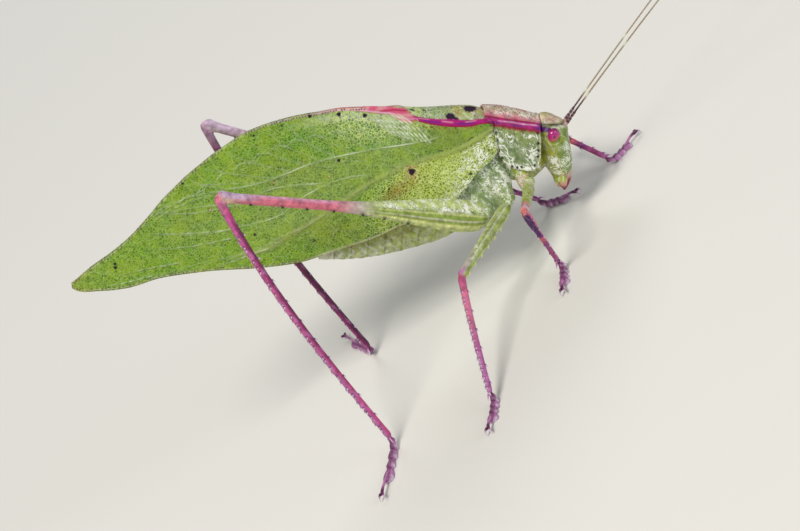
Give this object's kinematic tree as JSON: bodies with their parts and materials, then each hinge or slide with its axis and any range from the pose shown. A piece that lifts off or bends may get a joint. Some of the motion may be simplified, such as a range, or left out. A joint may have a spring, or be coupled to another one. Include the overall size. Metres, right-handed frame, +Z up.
{
  "type": "leaf-mimic katydid",
  "caption": "Still life-size insect: a long-horned bush-cricket with leaf-shaped wing covers held roofwise, standing nose down on six slender legs with long hair-thin feelers.",
  "frame": {"origin": "the point on the floor under the middle of the whole insect's box, feelers and feet included", "axes": "+X forward, where the head and feelers point; +Y to the insect's left; +Z up from the floor it stands on"},
  "size_m": [0.1116, 0.0528, 0.0332],
  "materials": {
    "wing_cover": "leathery leaf-green membrane with raised pale veins",
    "hind_wing": "thin pale green membrane, folded under the wing covers",
    "body": "pale green cuticle with white marbling",
    "pronotum": "pink and green speckled cuticle with a magenta keel",
    "abdomen": "olive yellow segmented cuticle",
    "eye": "smooth magenta red compound eye",
    "mouthparts": "dark red glossy cuticle",
    "feeler": "fine brownish pink ringed feeler",
    "thigh": "green ridged cuticle turning pink to the knee",
    "shin": "pink to magenta cuticle with small thorns",
    "foot": "lilac pink padded foot",
    "claw": "dark horny claw"
  },
  "bodies": {
    "root": {"abdomen": "abdomen", "cercus_left": "abdomen", "cercus_right": "abdomen", "claws_front_left": "claw", "claws_front_right": "claw", "claws_hind_left": "claw", "claws_hind_right": "claw", "claws_middle_left": "claw", "claws_middle_right": "claw", "coxa_front_left": "body", "coxa_front_right": "body", "coxa_hind_left": "body", "coxa_hind_right": "body", "coxa_middle_left": "body", "coxa_middle_right": "body", "eye_left": "eye", "eye_right": "eye", "femur_front_left": "thigh", "femur_front_right": "thigh", "femur_hind_left": "thigh", "femur_hind_right": "thigh", "femur_middle_left": "thigh", "femur_middle_right": "thigh", "flagellum_left": "feeler", "flagellum_right": "feeler", "head": "body", "hind_wing_left": "hind_wing", "hind_wing_right": "hind_wing", "labrum": "mouthparts", "mandible_left": "mouthparts", "mandible_right": "mouthparts", "palp_left": "mouthparts", "palp_right": "mouthparts", "pronotum": "pronotum", "prothorax": "body", "pterothorax": "body", "scape_left": "feeler", "scape_right": "feeler", "tarsus_front_left": "foot", "tarsus_front_right": "foot", "tarsus_hind_left": "foot", "tarsus_hind_right": "foot", "tarsus_middle_left": "foot", "tarsus_middle_right": "foot", "tegmen_left": "wing_cover", "tegmen_right": "wing_cover", "tibia_front_left": "shin", "tibia_front_right": "shin", "tibia_hind_left": "shin", "tibia_hind_right": "shin", "tibia_middle_left": "shin", "tibia_middle_right": "shin"}
  },
  "joints": []
}
